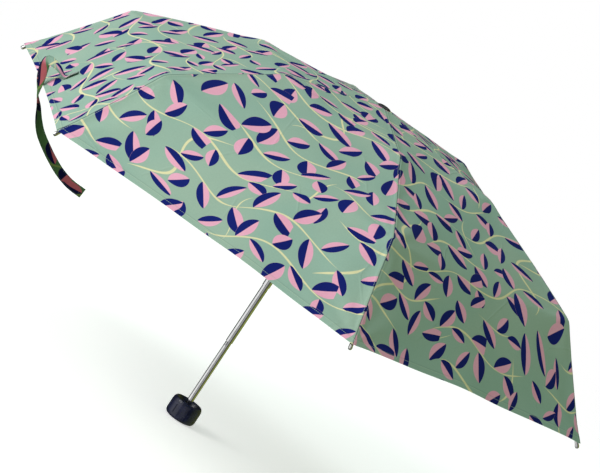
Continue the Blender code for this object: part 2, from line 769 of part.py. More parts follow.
def seat_on_panel(grid, back, aside):
    """The point of a panel this far back from its hem and aside from its middle."""
    lines = [grid[::-1, ACROSS // 2 + i] for i in (0, 1)]
    run = np.linalg.norm(np.diff(lines[0], axis=0), axis=1)
    run = np.concatenate([[0.0], np.cumsum(run)])
    near, far = (
        np.array([np.interp(back, run, line[:, k]) for k in range(3)]) for line in lines
    )
    return near + (far - near) * aside / np.linalg.norm(far - near)


def make_strap(profiles):
    """The tie strap: sewn on the first panel, folded over its hem and hanging."""
    grid = panel_points(0, profiles, CLOTH + GAP)
    middle = rib_azimuth(0) + 0.5 * RIB_STEP
    across = np.array((-math.sin(middle), math.cos(middle), 0.0))
    sway = np.array((math.cos(STRAP_SWAY), math.sin(STRAP_SWAY), 0.0))
    forward = np.array((math.sin(STRAP_SWAY), -math.cos(STRAP_SWAY), 0.0))
    up = np.array((0.0, 0.0, 1.0))
    path = [seat_on_panel(grid, *seat) for seat in STRAP_SEAT]
    start = path[-1] + forward * STRAP_STAND_OFF
    path[-1] = path[-1] + up
    path += [start + sway * x + up * z for x, z in STRAP_LINE]
    half = 0.5 * STRAP_WIDTH
    points = []
    for i, p in enumerate(path):
        a, b = path[max(i - 1, 0)], path[min(i + 1, len(path) - 1)]
        along = (b - a) / np.linalg.norm(b - a)
        face = np.cross(along, across)
        face /= np.linalg.norm(face)
        side = np.cross(along, face)
        for wide, lift in ((-half, 0.0), (half, 0.0), (half, 1.0), (-half, 1.0)):
            point = p + side * wide + face * lift * STRAP_THICK
            points.append(point.tolist())
    faces = [(0, 1, 2, 3), tuple(len(points) - i for i in range(1, 5))]
    for i in range(len(path) - 1):
        for k in range(4):
            a, b = 4 * i + k, 4 * i + (k + 1) % 4
            faces.append((a, b, b + 4, a + 4))
    finish("tie_strap", mesh_from(points, faces), STRAP_LOOK)


make_handle()
make_shaft()
make_crown_and_runner()
make_ribs()
make_canopy()
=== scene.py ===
"""Looks of a folding umbrella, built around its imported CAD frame.

Lengths are in millimetres until a mesh is written, which scales them by MM.
A rib plane holds (radius from the shaft, height). Gore i of the canopy lies between
ribs i and i + 1, and u runs across it from -1 at rib i to 1 at rib i + 1.
"""

import json
import math

import bpy
import numpy as np
from mathutils import Matrix, Vector


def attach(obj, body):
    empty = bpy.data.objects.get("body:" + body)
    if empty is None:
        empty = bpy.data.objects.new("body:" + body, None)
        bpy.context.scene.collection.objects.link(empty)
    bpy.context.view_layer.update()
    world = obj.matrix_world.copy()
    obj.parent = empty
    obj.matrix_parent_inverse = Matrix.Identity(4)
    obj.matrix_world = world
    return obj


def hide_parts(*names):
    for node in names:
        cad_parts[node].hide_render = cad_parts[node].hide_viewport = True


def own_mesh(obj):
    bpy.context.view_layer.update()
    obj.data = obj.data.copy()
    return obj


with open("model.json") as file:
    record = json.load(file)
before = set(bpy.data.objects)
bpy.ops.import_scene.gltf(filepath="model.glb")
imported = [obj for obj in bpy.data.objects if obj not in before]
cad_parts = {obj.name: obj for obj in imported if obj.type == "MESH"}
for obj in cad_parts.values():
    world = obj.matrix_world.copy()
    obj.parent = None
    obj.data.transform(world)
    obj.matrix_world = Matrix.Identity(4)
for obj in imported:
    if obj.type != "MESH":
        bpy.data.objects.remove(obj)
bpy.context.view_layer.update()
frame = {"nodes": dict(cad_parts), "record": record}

MM = 0.001

# ---------------------------------------------------------------- frame of the ribs
RIBS = 6
RIB_STEP = math.radians(60.0)
FIRST_RIB = math.radians(180.0)
HALF_GORE = 0.5 * RIB_STEP
CROWN_HEIGHT, CROWN_PIVOT = 477.0, 10.0
TOP_LENGTH, TOP_ANGLE = 171.0, math.radians(-6.0)
MID_LENGTH, MID_ANGLE = 180.0, math.radians(-20.9)
OUTER_LENGTH, OUTER_ANGLE = 152.0, math.radians(-50.3)
TOP_BOW, MID_BOW = 2.5, 1.5
RIB_HALF_HEIGHT = 1.5
KNUCKLE = 2.2                  # knuckle pivots off the rib centre lines
EYE_RADIUS = 1.75
CHEEK_SHOULDER = 0.9
NOTCH_RADIUS, NOTCH_BACK, GAP = 13.0, 3.8, 0.3

# ---------------------------------------------------------------- canopy cloth
CLOTH_CLEAR = 0.5
CANOPY_HOLE = 7.8
HEM_SCALLOP = 0.008            # how far the hem draws in at mid gore, as a share
TENSION_WINDOW, TENSION_SHARE = 75.0, 0.8
OUTER_LIFT, INNER_LIFT = 0.45, 0.15
HEM_BAND = 8.5
STITCH = 2.6                   # length of a stitch and its gap
CROWN_SKIRT = 17.0             # radius where the cloth leaves the crown
ROW_STEP, COLUMN_STEP = 6.0, 6.5
SEAM_OFFSETS = (0.0, 0.5, 1.1, 1.9, 2.9, 4.2, 6.2, 9.0)     # columns of a mesh by its seam
NARROW_HALF = 22.0             # a half gore narrower than this draws the offsets in
SEAM_PART, COLUMN_SAVING = 20.0, 0.7           # the rest of a half gore has wider columns
HEM_ROWS = (HEM_BAND + 1.6, HEM_BAND + 0.8, HEM_BAND, HEM_BAND - 0.8, 4.0, 0.0)
SEAM_FREE = 14.0               # from the rib to where the cloth can ripple
SEAM_RISE, SEAM_FOLD = 0.32, (2.6, 4.6)        # the folded edge under a seam, and its end
SEAM_GROOVE, GROOVE_WIDTH = 0.5, 0.8
HEM_RISE, HEM_STEP = 0.28, (-0.8, 0.3)
HEM_WAVE, DRIFT = 1.5, 0.55
PUCKER_GAIN, PUCKER_CORE = 2.2, 0.6
MID_BORDERS = (215.0, 387.6)   # radii where the fold lines cross the middle of a gore


def moved(origin, angle, along, above):
    """The point this far along and above an origin in the rib plane."""
    c, s = math.cos(angle), math.sin(angle)
    return (origin[0] + along * c - above * s, origin[1] + along * s + above * c)


def bow(share, height):
    return 4.0 * height * share * (1.0 - share)


def ramp(low, high, value):
    """0 below low and 1 above high, straight between them."""
    return min(1.0, max(0.0, (value - low) / (high - low)))


CROWN_POINT = (CROWN_PIVOT, CROWN_HEIGHT)
INNER_POINT = moved(CROWN_POINT, TOP_ANGLE, TOP_LENGTH, KNUCKLE)
OUTER_POINT = moved(INNER_POINT, MID_ANGLE, MID_LENGTH, -2.0 * KNUCKLE)
TOP_STATIONS = (30.0, 50.0, 85.0, 120.0, 148.0, 165.0)      # along each rib, from its pivot
MID_STATIONS = (8.0, 30.0, 65.0, 105.0, 145.0, 172.0)
OUTER_STATIONS = (12.0, 50.0, 90.0, 125.0, OUTER_LENGTH + 2.0)
EYE_RAMP = 140.0               # along a top rib, where the cloth starts to rise over its eye
CROWN_RISE, TIP_RISE = 1.4, 1.9


def ridge_line():
    """(radius, height) of the cloth over a rib, and the numbers of its two knuckles."""
    flat = CROWN_HEIGHT + NOTCH_BACK + GAP
    line = [(CANOPY_HOLE, flat), (NOTCH_RADIUS + 0.8, flat)]
    eye_rise = KNUCKLE + EYE_RADIUS - RIB_HALF_HEIGHT
    clear = RIB_HALF_HEIGHT + CLOTH_CLEAR
    for along in TOP_STATIONS:
        rise = eye_rise * ramp(EYE_RAMP, TOP_STATIONS[-1], along)
        rise += CROWN_RISE * (1.0 - ramp(0.0, TOP_STATIONS[1], along))
        above = bow(along / TOP_LENGTH, TOP_BOW) + clear + rise
        line.append(moved(CROWN_POINT, TOP_ANGLE, along, above))
    knuckles = [len(line)]
    mid_angle = 0.5 * (TOP_ANGLE + MID_ANGLE)
    line.append(moved(INNER_POINT, mid_angle, 0.0, EYE_RADIUS + CLOTH_CLEAR + 0.5))
    clear += CHEEK_SHOULDER
    for along in MID_STATIONS:
        rise = eye_rise * (1.0 - ramp(0.0, MID_STATIONS[1], along))
        above = bow(along / MID_LENGTH, MID_BOW) - KNUCKLE + clear + rise
        line.append(moved(INNER_POINT, MID_ANGLE, along, above))
    knuckles.append(len(line))
    turn_angle = 0.5 * (MID_ANGLE + OUTER_ANGLE)
    line.append(moved(OUTER_POINT, turn_angle, 2.0, KNUCKLE + clear + 0.4))
    for along in OUTER_STATIONS:
        shoulder = CHEEK_SHOULDER * ramp(*OUTER_STATIONS[:2], along)
        tip_rise = TIP_RISE * ramp(*OUTER_STATIONS[-2:], along)
        above = KNUCKLE + clear - shoulder + tip_rise
        line.append(moved(OUTER_POINT, OUTER_ANGLE, along, above))
    return np.array(line), knuckles


RIDGE, KNUCKLES = ridge_line()
STOPS = np.concatenate([[0.0], np.cumsum(np.hypot(*np.diff(RIDGE, axis=0).T))])
HEM = STOPS[-1]
FINE = np.linspace(0.0, HEM, 520)
RIDGE_FINE = np.column_stack([np.interp(FINE, STOPS, RIDGE[:, i]) for i in (0, 1)])
EASED_FINE = np.empty_like(RIDGE_FINE)
for row, stop in enumerate(FINE):
    reach = min(TENSION_WINDOW, stop, HEM - stop)
    near = np.linspace(stop - reach, stop + reach, 15)
    EASED_FINE[row] = [np.interp(near, STOPS, RIDGE[:, i]).mean() for i in (0, 1)]
SOFT_HALF = 4                  # rounds the corners that a rib's stations leave
SOFT = np.ones(2 * SOFT_HALF + 1) / (2 * SOFT_HALF + 1)
for axis in (0, 1):
    padded_line = np.pad(RIDGE_FINE[:, axis], SOFT_HALF, mode="reflect", reflect_type="odd")
    RIDGE_FINE[:, axis] = np.convolve(padded_line, SOFT, mode="valid")


def arc_at_radius(radius):
    return float(np.interp(radius, RIDGE_FINE[:, 0], FINE))


def plain_cloth(arc, u):
    """(out along the gore's middle, side, height) of the taut cloth, without relief."""
    shape = 1.0 - u * u
    at = arc * (1.0 - HEM_SCALLOP * shape)
    share = TENSION_SHARE * shape
    radius, height = (
        (1.0 - share) * np.interp(at, FINE, RIDGE_FINE[:, i])
        + share * np.interp(at, FINE, EASED_FINE[:, i])
        for i in (0, 1)
    )
    side = radius * math.sin(HALF_GORE) * u
    return np.stack([radius * math.cos(HALF_GORE), side, height], axis=-1)


def normals_of(surface, arc, u):
    """Unit normals of surface(arc, u), turned upwards."""
    step_arc, step_u = 0.6, 0.004
    low_arc, high_arc = np.maximum(arc - step_arc, 0.0), np.minimum(arc + step_arc, HEM)
    low_u, high_u = np.maximum(u - step_u, -1.0), np.minimum(u + step_u, 1.0)
    down = surface(high_arc, u) - surface(low_arc, u)
    over = surface(arc, high_u) - surface(arc, low_u)
    normal = np.cross(over, down)
    normal /= np.maximum(np.linalg.norm(normal, axis=-1, keepdims=True), 1e-12)
    return normal * np.sign(normal[..., 2:3])


def ease(low, high, value):
    share = np.clip((value - low) / (high - low), 0.0, 1.0)
    return share * share * (3.0 - 2.0 * share)


def pucker(gore, side, knuckle, along, away, size, reach, folds):
    """Small gathers that fan out from a point where the cloth is held to its rib."""
    radius = np.hypot(along, away)
    turn = np.arctan2(away, along)
    phase = 1.7 * gore + 2.9 * side + 4.3 * knuckle
    fade = np.exp(-radius / reach) * (radius / (radius + PUCKER_CORE * reach)) ** 2
    return PUCKER_GAIN * size * fade * np.cos(folds * turn + phase)


HELD = (                         # arc of the held point, height, reach, folds of its gathers
    (STOPS[KNUCKLES[0]], 1.5, 34.0, 5.0),
    (STOPS[KNUCKLES[1]], 2.2, 42.0, 6.0),
    (HEM - 4.0, 2.9, 55.0, 7.0),
    (0.5 * (STOPS[KNUCKLES[0]] + STOPS[KNUCKLES[1]]), 0.6, 30.0, 4.0),
)


def relief(gore, arc, u):
    """How far the cloth stands off its taut shape: seams, hem and gathers, in mm."""
    half = 0.5 * np.interp(arc, FINE, RIDGE_FINE[:, 0])
    seam = (1.0 - np.abs(u)) * half
    free = ease(0.0, SEAM_FREE, seam)
    height = SEAM_RISE * (1.0 - ease(*SEAM_FOLD, seam))
    height = height - SEAM_GROOVE * np.exp(-((seam / GROOVE_WIDTH) ** 2))
    height += HEM_RISE * ease(*(HEM - HEM_BAND + step for step in HEM_STEP), arc)
    for number, (centre, size, reach, folds) in enumerate(HELD):
        for side in (-1.0, 1.0):
            away = (1.0 - side * u) * half
            gather = pucker(gore, side, number, arc - centre, away, size, reach, folds)
            height = height + free * gather
    low = (arc / HEM) ** 5
    wave = np.sin(math.pi * (1.6 * u + 0.37 * gore))
    wave = wave + 0.6 * np.sin(math.pi * (3.1 * u - 0.8 * gore + 0.4))
    height = height + free * low * HEM_WAVE * wave * (1.0 - u * u)
    across = u * half
    drift = np.sin(arc / 47.0 + 1.3 * gore) * np.sin(across / 39.0 + 0.9 * gore + 0.5)
    drift = drift + 0.5 * np.sin((arc + 0.8 * across) / 23.0 + 2.1 * gore)
    return height + free * DRIFT * drift


def gore_cloth(gore):
    """surface(arc, u, lift) of one gore in its own axes, with its relief."""
    def surface(arc, u, lift=0.0):
        return (
            plain_cloth(arc, u)
            + normals_of(plain_cloth, arc, u) * (lift + relief(gore, arc, u))[..., None]
        )
    return surface


def turned_about_shaft(vectors, angle):
    c, s = math.cos(angle), math.sin(angle)
    x, y, z = vectors[..., 0], vectors[..., 1], vectors[..., 2]
    return np.stack([x * c - y * s, x * s + y * c, z], axis=-1)


def gore_azimuth(gore):
    return FIRST_RIB + (gore + 0.5) * RIB_STEP


def rib_direction(rib, angle):
    azimuth = FIRST_RIB + rib * RIB_STEP
    c = math.cos(angle)
    return np.array((c * math.cos(azimuth), c * math.sin(azimuth), math.sin(angle)))


# ---------------------------------------------------------------- shader graphs
class Term:
    """A shader socket that can be combined with numbers and other terms."""

    def __init__(self, graph, socket):
        self.graph, self.socket = graph, socket

    def __add__(self, other):
        return self.graph.math("ADD", self, other)

    def __sub__(self, other):
        return self.graph.math("SUBTRACT", self, other)

    def __rsub__(self, other):
        return self.graph.math("SUBTRACT", other, self)

    def __mul__(self, other):
        return self.graph.math("MULTIPLY", self, other)

    def __truediv__(self, other):
        return self.graph.math("DIVIDE", self, other)

    def __rtruediv__(self, other):
        return self.graph.math("DIVIDE", other, self)

    __radd__, __rmul__ = __add__, __mul__


class Graph:
    """Short ways to add nodes to a material or a node group."""

    def __init__(self, tree):
        self.tree = tree

    def node(self, kind, **settings):
        made = self.tree.nodes.new("ShaderNode" + kind)
        for name, value in settings.items():
            setattr(made, name, value)
        return made

    def put(self, socket, value):
        if isinstance(value, Term):
            self.tree.links.new(value.socket, socket)
        else:
            socket.default_value = value

    def math(self, operation, *values, clamp=False):
        made = self.node("Math", operation=operation, use_clamp=clamp)
        for socket, value in zip(made.inputs, values):
            self.put(socket, value)
        return Term(self, made.outputs[0])

    def sin(self, value):
        return self.math("SINE", value)

    def cos(self, value):
        return self.math("COSINE", value)

    def floor(self, value):
        return self.math("FLOOR", value)

    def abs(self, value):
        return self.math("ABSOLUTE", value)

    def sqrt(self, value):
        return self.math("SQRT", value)

    def most(self, a, b):
        return self.math("MAXIMUM", a, b)

    def least(self, a, b):
        return self.math("MINIMUM", a, b)

    def clamp(self, value):
        return self.math("ADD", value, 0.0, clamp=True)

    def step(self, value, low, high):
        """0 below low and 1 above high, smooth between them."""
        made = self.node("MapRange", interpolation_type="SMOOTHSTEP")
        self.put(made.inputs["Value"], value)
        made.inputs["From Min"].default_value = low
        made.inputs["From Max"].default_value = high
        return Term(self, made.outputs["Result"])

    def parts(self, vector):
        made = self.node("SeparateXYZ")
        self.put(made.inputs[0], vector)
        return [Term(self, made.outputs[i]) for i in range(3)]

    def vector(self, x, y, z=0.0):
        made = self.node("CombineXYZ")
        for socket, value in zip(made.inputs, (x, y, z)):
            self.put(socket, value)
        return Term(self, made.outputs[0])

    def noise(self, vector, scale, detail=2.0, roughness=0.5, colour=False):
        made = self.node("TexNoise", noise_dimensions="3D")
        self.put(made.inputs["Vector"], vector)
        made.inputs["Scale"].default_value = scale
        made.inputs["Detail"].default_value = detail
        made.inputs["Roughness"].default_value = roughness
        return Term(self, made.outputs["Color" if colour else "Fac"])

    def chance(self, vector):
        """Four random numbers for a cell."""
        made = self.node("TexWhiteNoise", noise_dimensions="3D")
        self.put(made.inputs["Vector"], vector)
        colour = Term(self, made.outputs["Color"])
        return self.parts(colour) + [Term(self, made.outputs["Value"])]

    def mix(self, share, a, b):
        made = self.node("Mix", data_type="RGBA")
        self.put(made.inputs["Factor"], share)
        for socket, value in ((made.inputs[6], a), (made.inputs[7], b)):
            self.put(socket, value if isinstance(value, Term) else (*value, 1.0))
        return Term(self, made.outputs[2])

    def shade(self, colour, share):
        """colour times a grey share."""
        made = self.node("VectorMath", operation="SCALE")
        self.put(made.inputs[0], colour)
        self.put(made.inputs["Scale"], share)
        return Term(self, made.outputs[0])

    def tint(self, colour, by):
        """colour times another, channel by channel."""
        made = self.node("VectorMath", operation="MULTIPLY")
        self.put(made.inputs[0], colour)
        self.put(made.inputs[1], by)
        return Term(self, made.outputs[0])

    def dot(self, vector, constant):
        made = self.node("VectorMath", operation="DOT_PRODUCT")
        self.put(made.inputs[0], vector)
        made.inputs[1].default_value = tuple(constant)
        return Term(self, made.outputs["Value"])

    def bump(self, height, strength, distance):
        made = self.node("Bump")
        self.put(made.inputs["Height"], height)
        made.inputs["Strength"].default_value = strength
        made.inputs["Distance"].default_value = distance
        return Term(self, made.outputs[0])

    def uv(self, name):
        """A UV layer, held in metres, as millimetres."""
        made = self.node("UVMap", uv_map=name)
        scaled = self.node("VectorMath", operation="SCALE")
        self.put(scaled.inputs[0], Term(self, made.outputs[0]))
        scaled.inputs["Scale"].default_value = 1.0 / MM
        return Term(self, scaled.outputs[0])

    def place(self):
        """The point on the object, in millimetres."""
        made = self.node("TexCoord")
        scaled = self.node("VectorMath", operation="SCALE")
        self.put(scaled.inputs[0], Term(self, made.outputs["Object"]))
        scaled.inputs["Scale"].default_value = 1.0 / MM
        return Term(self, scaled.outputs[0])


def new_material(name, **values):
    made = bpy.data.materials.new(name)
    made.use_nodes = True
    shader = made.node_tree.nodes["Principled BSDF"]
    for socket, value in values.items():
        shader.inputs[socket.replace("_", " ")].default_value = value
    return made, Graph(made.node_tree), shader


def srgb(*values):
    """Linear colour from 0 to 255 display values."""
    return tuple(
        v / 255 / 12.92 if v / 255 <= 0.04045 else ((v / 255 + 0.055) / 1.055) ** 2.4
        for v in values
    )


# ---------------------------------------------------------------- print of the cloth
SAGE, SAGE_COOL = srgb(152, 177, 161), srgb(144, 174, 160)
NAVY, NAVY_DEEP = srgb(18, 34, 118), srgb(11, 20, 90)
PINK, PINK_DEEP = srgb(233, 174, 197), srgb(225, 158, 184)
CREAM = srgb(224, 217, 172)
# REVERSE is the back's duller tone; the number after it darkens the inside as painted shade
REVERSE, REVERSE_PAINTED_SHADE = srgb(96, 122, 104), 0.72
THREAD, STRAP_THREAD = srgb(176, 196, 170), srgb(70, 96, 80)
SEAM_STITCH, HEM_STITCH, STRAP_STITCH = 1.9, 6.9, 1.4      # in from the seam, hem and edge
WEAVE, CREASE_CELL = 0.62, 118.0               # spacings of the threads and the fine creases
VINE_ROW, VINE_WAVE, VINE_LENGTH = 47.0, 13.0, 164.0
WANDER, WANDER_SIZE = 185.0, (84.0, 96.0)      # slow bends of the whole layout
LEAF_PITCH = 52.0
LEAF_LENGTH, LEAF_WIDTH = 28.0, 0.22           # least length, and least half width as a share
MIDRIB_SHIFT = 0.8                             # makes the navy half the wider one
VINE_GATE, VINE_SWELL = 0.42, 11.0
TWIG_ROW, TWIG_WAVE, TWIG_LENGTH, TWIG_GATE = 112.0, 15.0, 124.0, 0.47


def make_print():
    """A group that draws two-tone leaves along wandering vines, from flat cloth in mm."""
    tree = bpy.data.node_groups.new("leaf_and_vine", "ShaderNodeTree")
    tree.interface.new_socket("Place", in_out="INPUT", socket_type="NodeSocketVector")
    for name in ("Leaf", "Navy", "Vine"):
        tree.interface.new_socket(name, in_out="OUTPUT", socket_type="NodeSocketFloat")
    g = Graph(tree)
    entry = Term(g, g.tree.nodes.new("NodeGroupInput").outputs[0])
    leave = g.tree.nodes.new("NodeGroupOutput")
    px, py, _ = g.parts(entry)
    sway, lift, _ = g.parts(g.noise(entry, 1.0 / WANDER, detail=0.6, colour=True))
    x = px + (sway - 0.5) * WANDER_SIZE[0]
    y = py + (lift - 0.5) * WANDER_SIZE[1]
    turn = 2.0 * math.pi / VINE_LENGTH
    slope_size = VINE_WAVE * turn
    level = (y - g.sin(x * turn) * VINE_WAVE) / VINE_ROW
    row_below = g.floor(level)
    leaves = []
    # Each vine is a sine row. A point can lie on a leaf of the row below it or above it.
    for side in (0, 1):
        row = row_below + side
        cell = g.floor(x / LEAF_PITCH + 0.5 * side)
        jitter, tilt, width, swap = g.chance(g.vector(cell, row, 5.0 + side))
        base_x = (cell + (0.36 - 0.5 * side) + (jitter - 0.5) * 0.3) * LEAF_PITCH
        slope = g.cos(base_x * turn) * slope_size
        shrink = 1.0 / g.sqrt(slope * slope + 1.0)
        # from the leaf's foot on its vine, then turned to the vine's slope there
        ex = x - base_x
        ey = y - row * VINE_ROW - g.sin(base_x * turn) * VINE_WAVE
        qx = (ex + ey * slope) * shrink
        qy = (ey - ex * slope) * shrink * (1.0 - 2.0 * side) - 1.5
        angle = tilt * 0.95 + 0.35
        length = (jitter + swap) * 7.0 + LEAF_LENGTH
        c, s = g.cos(angle), g.sin(angle)
        along = (qx * c + qy * s) / length
        off = qy * c - qx * s
        lens = g.most(along * (1.0 - along) * 4.0, 0.0)
        half = g.math("POWER", lens, 0.78) * length * (width * 0.09 + LEAF_WIDTH)
        mask = g.clamp((half - g.abs(off)) / 0.4)
        flip = g.math("SIGN", swap - 0.5)
        navy = g.clamp((off * flip + MIDRIB_SHIFT) / 0.35 + 0.5)
        leaves.append((mask, navy))
    (mask_a, navy_a), (mask_b, navy_b) = leaves
    leaf = g.most(mask_a, mask_b)
    navy = g.most(mask_a * navy_a, mask_b * navy_b * (1.0 - mask_a))
    # The vine's line comes and goes along its row, and a few thin twigs cross the rows.
    here = level - row_below
    slope = g.cos(x * turn) * slope_size
    near = g.least(here, 1.0 - here) * VINE_ROW / g.sqrt(slope * slope + 1.0)
    vine_number = (row_below + g.step(here, 0.45, 0.55)) * 31.0
    shown = g.noise(g.vector(x * 0.35, vine_number), 1.0 / 38.0, detail=0.0)
    thick = (shown - VINE_GATE) * VINE_SWELL
    thick = g.least(thick, g.noise(entry, 1.0 / 60.0, detail=0.0) * 2.2 + 0.3)
    vine = g.clamp((thick - near) / 0.5 + 0.5)
    bx, by = x * 0.42 + y * 0.91, y * 0.42 - x * 0.91
    branch = (by + g.sin(bx * (2.0 * math.pi / TWIG_LENGTH)) * TWIG_WAVE) / TWIG_ROW
    gap = g.abs(branch - g.floor(branch) - 0.5) * 100.0
    gate = g.clamp((g.noise(entry, 1.0 / 95.0, detail=0.0) - TWIG_GATE) * 7.0)
    twig = g.clamp((gate * 1.5 - gap) / 0.5 + 0.5) * g.step(gate, 0.02, 0.1)
    for socket, value in zip(leave.inputs, (leaf, navy, g.most(vine, twig))):
        g.put(socket, value)
    return tree


PRINT = make_print()


def printed_cloth(graph):
    """(flat place, colour, ink mask, weave height) of the printed cloth."""
    place = graph.uv("print")
    group = graph.node("Group")
    group.node_tree = PRINT
    graph.put(group.inputs[0], place)
    leaf, navy, vine = (Term(graph, group.outputs[i]) for i in range(3))
    drift = graph.noise(place, 1.0 / 140.0, detail=2.0)
    slub = graph.noise(place, 1.0 / 2.2, detail=1.0)
    ground = graph.mix(graph.step(drift, 0.35, 0.65), SAGE, SAGE_COOL)
    colour = graph.mix(vine * 0.94, ground, CREAM)
    blue = graph.mix(drift, NAVY, NAVY_DEEP)
    pink = graph.mix(drift, PINK, PINK_DEEP)
    colour = graph.mix(leaf, colour, graph.mix(navy, pink, blue))
    colour = graph.shade(colour, slub * 0.1 + 0.95)
    x, y, _ = graph.parts(place)
    thread = 2.0 * math.pi / WEAVE
    weave = graph.sin(x * thread) * graph.sin(y * thread) * 0.5 + slub
    return place, colour, leaf, weave


def stitches(g, away, along, half_width):
    """1 on a row of stitches, from the distance to its line and the place down it."""
    dash = g.step(g.abs(g.math("FRACT", along / STITCH) - 0.5), 0.12, 0.2)
    return g.step(away, half_width, half_width - 0.3) * dash


def canopy_material(name, inside):
    """Printed pongee with stitched seams and hem, with a painted shadow line along each seam
    and painted shade where the turned-up hem ends. The inside shows the print faintly, darkened
    as painted shade.
    """
    made, g, shader = new_material(
        name, Roughness=0.62, Specular_IOR_Level=0.06, Sheen_Weight=0.0, Sheen_Roughness=0.4
    )
    place, colour, leaf, weave = printed_cloth(g)
    seam, hem, _ = g.parts(g.uv("seam"))
    x, y, _ = g.parts(place)
    if inside:
        # the inside fades toward the back's duller tone, then is darkened as painted shade
        colour = g.shade(g.mix(0.30, colour, REVERSE), REVERSE_PAINTED_SHADE)
    run = stitches(g, g.abs(seam - SEAM_STITCH), y, 0.5)
    run = g.most(run, stitches(g, g.abs(hem - HEM_STITCH), x, 0.5))
    # painted shadow along each seam, and painted shade where the turned-up hem ends
    line = g.step(seam, 0.9, 0.1)
    edge = g.step(g.abs(hem - HEM_BAND), 0.8, 0.1)
    colour = g.mix(run * 0.55, colour, THREAD)
    colour = g.shade(colour, 1.0 - line * 0.55)
    colour = g.shade(colour, 1.0 - edge * 0.16)
    g.put(shader.inputs["Base Color"], colour)
    g.put(shader.inputs["Roughness"], 0.64 - leaf * 0.06 + weave * 0.03)
    crease_cells = g.node("TexVoronoi", feature="DISTANCE_TO_EDGE", voronoi_dimensions="2D")
    g.put(crease_cells.inputs["Vector"], place)
    crease_cells.inputs["Scale"].default_value = 1.0 / CREASE_CELL
    crease = g.step(Term(g, crease_cells.outputs["Distance"]) * CREASE_CELL, 2.4, 0.0)
    crease = crease * g.step(g.noise(place, 1.0 / 60.0, detail=0.0), 0.45, 0.6)
    ripple = g.noise(g.vector(x, y * 0.35), 1.0 / 26.0, detail=2.0)
    height = weave * 0.05 + crease * 0.55 + ripple * 0.9 - run * 0.25
    g.put(shader.inputs["Normal"], g.bump(height, 0.5, MM))
    return made


OUTSIDE = canopy_material("canopy_print", inside=False)
INSIDE = canopy_material("canopy_reverse", inside=True)


# ---------------------------------------------------------------- canopy pieces
def new_piece(name, points, faces, materials, uvs=(), normals=None, smooth=True, which=None):
    """A mesh from points in millimetres. uvs holds (layer, place for each point)."""
    mesh = bpy.data.meshes.new(name)
    polygons = [tuple(map(int, face)) for face in faces]
    mesh.from_pydata((np.asarray(points) * MM).tolist(), [], polygons)
    corners = np.empty(len(mesh.loops), np.int32)
    mesh.loops.foreach_get("vertex_index", corners)
    for layer, values in uvs:
        made = mesh.uv_layers.new(name=layer)
        flat = (np.asarray(values)[corners] * MM).astype(np.float32)
        made.data.foreach_set("uv", flat.ravel())
    for material in materials:
        mesh.materials.append(material)
    if which is not None:
        mesh.polygons.foreach_set("material_index", np.asarray(which, np.int32))
    if smooth:
        mesh.shade_smooth()
    mesh.validate()
    if normals is not None:
        mesh.normals_split_custom_set(np.asarray(normals).tolist())
    made = bpy.data.objects.new(name, mesh)
    bpy.context.scene.collection.objects.link(made)
    return made


SAME_SPLIT = (0, 3, 2, 1)        # turns a quad over and keeps the corner it is split from


def shell(grid_out, grid_in, normal_grid):
    """(points, faces, split normals, which layer) of two grids joined round their edges."""
    rows, columns = grid_out.shape[:2]
    layer = rows * columns
    points = np.concatenate([grid_out.reshape(-1, 3), grid_in.reshape(-1, 3)])
    number = np.arange(layer).reshape(rows, columns)
    a, b = number[:-1, :-1].ravel(), number[:-1, 1:].ravel()
    c, d = number[1:, 1:].ravel(), number[1:, :-1].ravel()
    outer = np.stack([a, b, c, d], axis=1)
    first = grid_out.reshape(-1, 3)
    facing = np.cross(first[b] - first[a], first[d] - first[a])
    if (facing * normal_grid.reshape(-1, 3)[a]).sum() < 0.0:
        outer = outer[:, ::-1]
    inner = outer[:, SAME_SPLIT] + layer
    ring = np.concatenate(
        [number[0, :-1], number[:-1, -1], number[-1, :0:-1], number[:0:-1, 0]])
    following = np.roll(ring, -1)
    rim = np.stack([ring, following, following + layer, ring + layer], axis=1)
    p = points[rim]
    side = np.cross(p[:, 1] - p[:, 0], p[:, 3] - p[:, 0])
    middle = points[:layer].mean(axis=0)
    if ((p.mean(axis=1) - middle) * side).sum() < 0.0:
        rim, side = rim[:, ::-1], -side
    side /= np.maximum(np.linalg.norm(side, axis=1, keepdims=True), 1e-12)
    flat = normal_grid.reshape(-1, 3)
    normals = np.concatenate([
        flat[outer].reshape(-1, 3),
        -flat[inner - layer].reshape(-1, 3),
        np.repeat(side, 4, axis=0),
    ])
    faces = np.concatenate([outer, inner, rim])
    which = np.concatenate([np.zeros(len(outer)), np.ones(len(inner)), np.zeros(len(rim))])
    return points, faces, normals, which


def lateral_shares(half):
    """Places across half a gore, 0 at the rib and 1 at the middle: fine by the seam."""
    shrink = min(1.0, half / NARROW_HALF)
    close = np.array(SEAM_OFFSETS) * shrink / half
    steps = 1 + int(round((0.5 * HEM - SEAM_PART) / COLUMN_STEP * COLUMN_SAVING))
    rest = np.linspace(close[-1], 1.0, steps + 1)[1:]
    return np.concatenate([close, rest])


def row_arcs(start, end, hem):
    """The rows of a piece of cloth, closer where the hem is turned up."""
    count = max(2, int(round((end - start) / ROW_STEP)))
    if not hem:
        return np.linspace(start, end, count + 1)
    edge = end - np.array(HEM_ROWS)
    return np.concatenate([np.linspace(start, edge[0], count)[:-1], edge])


BENDS = (STOPS[KNUCKLES[0]], STOPS[KNUCKLES[1]])
MIDDLE_BENDS = tuple(arc_at_radius(r) for r in MID_BORDERS)
SKIRT = arc_at_radius(CROWN_SKIRT)


def skewed(arc, share):
    """The arc that a row has reached at a share of the way to the gore's middle."""
    full = np.interp(arc, (0.0, SKIRT) + BENDS + (HEM,), (0.0, SKIRT) + MIDDLE_BENDS + (HEM,))
    return (1.0 - share) * arc + share * full


PRINT_SHIFTS = (                 # where each gore was cut from the cloth
    (40.0, 310.0), (615.0, 95.0), (1240.0, 730.0),
    (95.0, 1330.0), (880.0, 1610.0), (1705.0, 1205.0),
)


